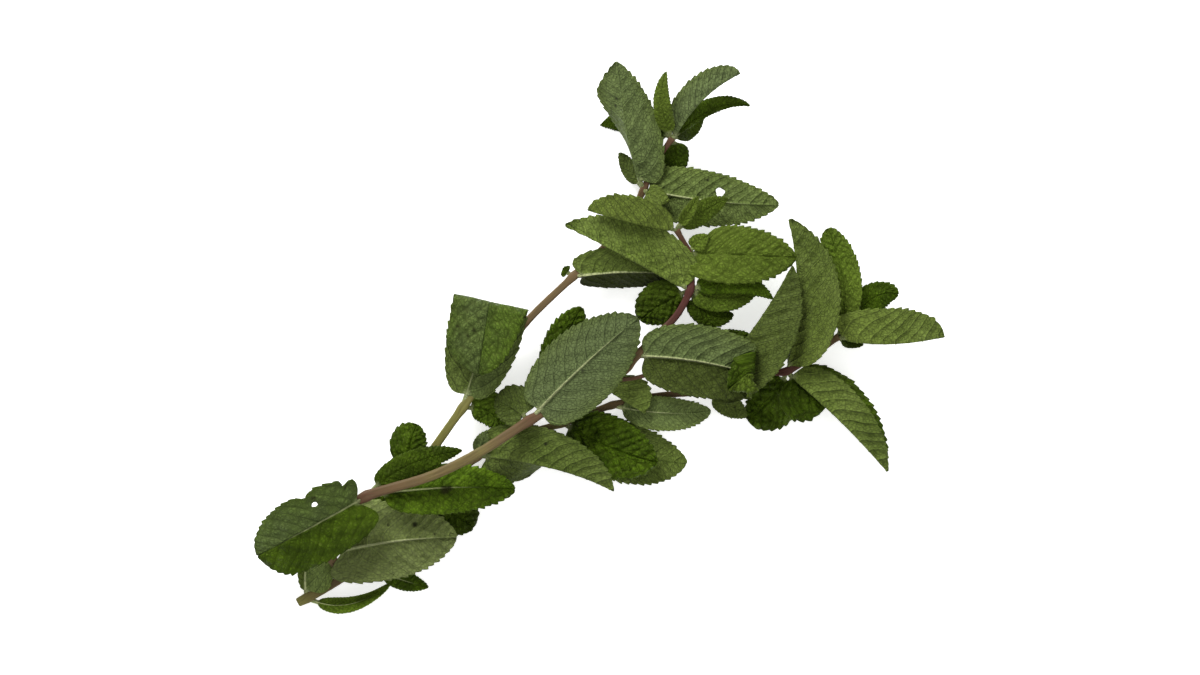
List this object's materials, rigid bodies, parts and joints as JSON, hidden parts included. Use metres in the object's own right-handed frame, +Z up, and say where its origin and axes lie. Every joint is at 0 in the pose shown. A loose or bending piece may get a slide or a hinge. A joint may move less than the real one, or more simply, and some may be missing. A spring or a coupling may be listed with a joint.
{
  "type": "spearmint sprig",
  "caption": "Cut branching sprig of spearmint lying on a flat surface: square stems with toothed, wrinkled leaves, many showing their pale undersides.",
  "frame": {"origin": "on the surface that the sprig lies on, under the middle of its bounding box", "axes": "+X along the sprig's longest extent, from the cut end's side towards the right-hand branch, +Y towards the upper branches, +Z up, square to the surface it lies on"},
  "size_m": [0.2301, 0.1847, 0.0258],
  "materials": {
    "stem": "fresh square herb stem, tan to olive with purple-brown flushes, softly shining",
    "leaf": "fresh mint leaf, upper side saturated green and puckered between the veins, underside paler grey-green and matte with raised veins",
    "young_leaf": "young mint leaf, yellow-green, softly shining"
  },
  "bodies": {
    "root": {"stem": "stem", "leaf_m0_1": "leaf", "leaf_m0_2": "leaf", "leaf_m1_1": "leaf", "leaf_m2_1": "leaf", "leaf_a0_1": "leaf", "leaf_a1_1": "leaf", "leaf_a1_3": "leaf", "leaf_a1_4": "leaf", "leaf_m3_1": "leaf", "leaf_m3_2": "leaf", "leaf_b1_1": "leaf", "leaf_b1_2": "leaf", "leaf_b2_1": "leaf", "leaf_b2_2": "leaf", "leaf_a2_1": "leaf", "leaf_a2_2": "leaf", "leaf_m4_1": "leaf", "leaf_m4_2": "leaf", "leaf_m4_3": "leaf", "leaf_a3_1": "leaf", "leaf_m5_1": "leaf", "leaf_a4_1": "leaf", "leaf_t1_1": "leaf", "leaf_a5_1": "leaf", "leaf_a5_2": "leaf", "leaf_a5_3": "leaf", "leaf_a5_4": "leaf", "leaf_a5_5": "leaf", "leaf_a6_1": "young_leaf", "leaf_a6_2": "young_leaf", "leaf_a7_1": "young_leaf", "leaf_a7_2": "young_leaf", "leaf_a7_3": "young_leaf", "leaf_b3_1": "leaf", "leaf_b3_2": "leaf", "leaf_b4_1": "leaf", "leaf_b4_2": "leaf", "leaf_b4_3": "leaf", "leaf_b4_4": "young_leaf", "leaf_b5_1": "leaf", "leaf_b5_2": "leaf", "leaf_b5_3": "leaf", "leaf_b5_4": "young_leaf", "leaf_b5_5": "leaf", "leaf_b5_6": "leaf", "leaf_m6_1": "leaf", "leaf_m6_2": "leaf", "leaf_m7_1": "leaf", "leaf_m7_2": "leaf", "leaf_m7_3": "leaf", "leaf_m7_4": "leaf", "leaf_m8_1": "young_leaf", "leaf_m8_2": "leaf", "leaf_m8_3": "leaf", "leaf_m8_4": "leaf"}
  },
  "joints": []
}
